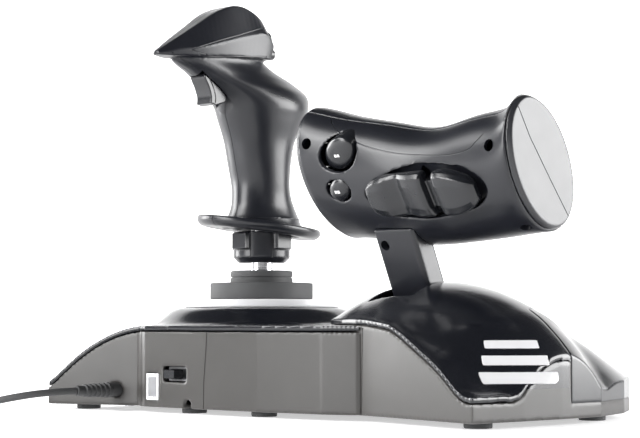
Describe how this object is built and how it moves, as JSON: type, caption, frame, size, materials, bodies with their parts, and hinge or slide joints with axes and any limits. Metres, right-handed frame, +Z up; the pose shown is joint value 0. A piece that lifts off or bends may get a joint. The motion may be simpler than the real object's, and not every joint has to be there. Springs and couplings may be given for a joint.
{
  "type": "flight joystick",
  "caption": "Desktop flight joystick with a gimballed twisting stick, trigger and hat, and an attached swinging throttle lever on one wide base.",
  "frame": {"origin": "on the table at the middle foot, close under the middle of the whole base, cable not counted", "axes": "+X to the user's right along the base, +Y away from the user, +Z up"},
  "size_m": [0.41, 0.2933, 0.2336],
  "materials": {
    "shell": "satin dark charcoal moulded plastic",
    "cover": "near black semi-gloss plastic",
    "wall": "satin warm dark grey plastic",
    "bright_plastic": "silver painted plastic",
    "boot_rubber": "soft matt rubber",
    "steel": "turned steel",
    "board": "circuit board",
    "button": "semi-gloss moulded button",
    "grey_part": "grey moulded part"
  },
  "bodies": {
    "base": {"stick_base_tray": "wall", "stick_base_cover": "cover", "throttle_base_tray": "wall", "throttle_base_cover": "cover", "corner_panel": "cover", "slope_bars": "bright_plastic", "bezel_plate": "bright_plastic", "boot_ring": "boot_rubber", "gimbal_frame": "grey_part", "pitch_sensor": "grey_part", "main_board": "board", "pedal_socket": "bright_plastic", "selector_body": "grey_part", "ballast_plate": "steel", "rubber_feet": "boot_rubber", "shaft_brackets": "grey_part", "throttle_shaft": "steel", "throttle_sensor": "grey_part", "base_screws": "steel", "strain_relief": "boot_rubber", "usb_cable": "boot_rubber", "cable_coil": "boot_rubber", "usb_plug": "steel"},
    "cradle": {"gimbal_cradle": "grey_part", "pitch_pins": "steel", "roll_pins": "steel", "pitch_springs": "steel", "roll_springs": "steel"},
    "stick": {"gimbal_yoke": "grey_part", "stick_shaft": "steel", "dust_cap": "boot_rubber", "lock_collar": "shell"},
    "handle": {"handle_shell_left": "shell", "handle_shell_right": "shell", "trigger_pin": "steel", "trigger_switch": "grey_part", "trigger_spring": "steel", "hand_rest": "shell"},
    "trigger": {"trigger": "button"},
    "hat_cross": {"hat_pivot": "grey_part"},
    "hat": {"hat_cap": "button"},
    "head_button_left": {"head_button_left": "button"},
    "head_button_right": {"head_button_right": "button"},
    "head_button_lower": {"head_button_lower": "button"},
    "throttle": {"throttle_arm": "shell", "slot_shield": "cover", "throttle_shell_front": "shell", "throttle_shell_rear": "shell", "end_cap": "shell", "thumb_panel": "shell", "rocker_pin": "steel"},
    "rocker": {"rocker": "button"},
    "finger_button_large": {"finger_button_large": "button"},
    "finger_button_small": {"finger_button_small": "button"},
    "thumb_button_upper": {"thumb_button_upper": "button"},
    "thumb_button_front": {"thumb_button_front": "button"},
    "thumb_button_back": {"thumb_button_back": "button"},
    "thumb_button_lower": {"thumb_button_lower": "button"},
    "tension_wheel": {"tension_wheel": "shell"},
    "selector_slider": {"selector_slider": "button"}
  },
  "joints": [
    {"name": "stick_pitch", "type": "hinge", "parent": "base", "child": "cradle", "pos_m": [0.066, 0.004, 0.042], "axis": [-1, 0, 0], "range_deg": [-11, 11], "stiffness_Nm_per_rad": 3},
    {"name": "stick_roll", "type": "hinge", "parent": "cradle", "child": "stick", "pos_m": [0.066, 0.004, 0.042], "axis": [0, 1, 0], "range_deg": [-11, 11], "stiffness_Nm_per_rad": 3},
    {"name": "stick_twist", "type": "hinge", "parent": "stick", "child": "handle", "pos_m": [0.066, 0.004, 0.104], "axis": [0, 0, 1], "range_deg": [-12, 12], "stiffness_Nm_per_rad": 0.5},
    {"name": "trigger_pull", "type": "hinge", "parent": "handle", "child": "trigger", "pos_m": [0.066, 0.047, 0.19], "axis": [-1, 0, 0], "range_deg": [0, 6], "stiffness_Nm_per_rad": 0.05},
    {"name": "hat_tilt_up", "type": "hinge", "parent": "handle", "child": "hat_cross", "pos_m": [0.066, 0.0115, 0.2172], "axis": [1, 0, 0], "range_deg": [-6, 6], "stiffness_Nm_per_rad": 0.02},
    {"name": "hat_tilt_side", "type": "hinge", "parent": "hat_cross", "child": "hat", "pos_m": [0.066, 0.0115, 0.2172], "axis": [0, 0, 1], "range_deg": [-6, 6], "stiffness_Nm_per_rad": 0.02},
    {"name": "head_button_left_press", "type": "slide", "parent": "handle", "child": "head_button_left", "axis": [0, 1, 0], "range_m": [0, 0.0012], "stiffness_N_per_m": 400},
    {"name": "head_button_right_press", "type": "slide", "parent": "handle", "child": "head_button_right", "axis": [0, 1, 0], "range_m": [0, 0.0012], "stiffness_N_per_m": 400},
    {"name": "head_button_lower_press", "type": "slide", "parent": "handle", "child": "head_button_lower", "axis": [0, 1, 0], "range_m": [0, 0.0012], "stiffness_N_per_m": 400},
    {"name": "throttle_swing", "type": "hinge", "parent": "base", "child": "throttle", "pos_m": [-0.0695, 0.0025, 0.024], "axis": [1, 0, 0], "range_deg": [-7, 33]},
    {"name": "rocker_tilt", "type": "hinge", "parent": "throttle", "child": "rocker", "pos_m": [-0.1003, 0.05396, 0.11601], "axis": [0, 0.5446, 0.8387], "range_deg": [-5, 5], "stiffness_Nm_per_rad": 0.2},
    {"name": "finger_button_large_press", "type": "slide", "parent": "throttle", "child": "finger_button_large", "axis": [0, -0.8387, 0.5446], "range_m": [0, 0.0012], "stiffness_N_per_m": 400},
    {"name": "finger_button_small_press", "type": "slide", "parent": "throttle", "child": "finger_button_small", "axis": [0, -0.8387, 0.5446], "range_m": [0, 0.0012], "stiffness_N_per_m": 400},
    {"name": "thumb_button_upper_press", "type": "slide", "parent": "throttle", "child": "thumb_button_upper", "axis": [-1, 0, 0], "range_m": [0, 0.001], "stiffness_N_per_m": 400},
    {"name": "thumb_button_front_press", "type": "slide", "parent": "throttle", "child": "thumb_button_front", "axis": [-1, 0, 0], "range_m": [0, 0.001], "stiffness_N_per_m": 400},
    {"name": "thumb_button_back_press", "type": "slide", "parent": "throttle", "child": "thumb_button_back", "axis": [-1, 0, 0], "range_m": [0, 0.001], "stiffness_N_per_m": 400},
    {"name": "thumb_button_lower_press", "type": "slide", "parent": "throttle", "child": "thumb_button_lower", "axis": [-1, 0, 0], "range_m": [0, 0.001], "stiffness_N_per_m": 400},
    {"name": "tension_turn", "type": "hinge", "parent": "base", "child": "tension_wheel", "pos_m": [0.066, 0.004, 0.003], "axis": [0, 0, 1], "range_deg": [-60, 60]},
    {"name": "selector_slide", "type": "slide", "parent": "base", "child": "selector_slider", "axis": [-1, 0, 0], "range_m": [0, 0.006]}
  ]
}
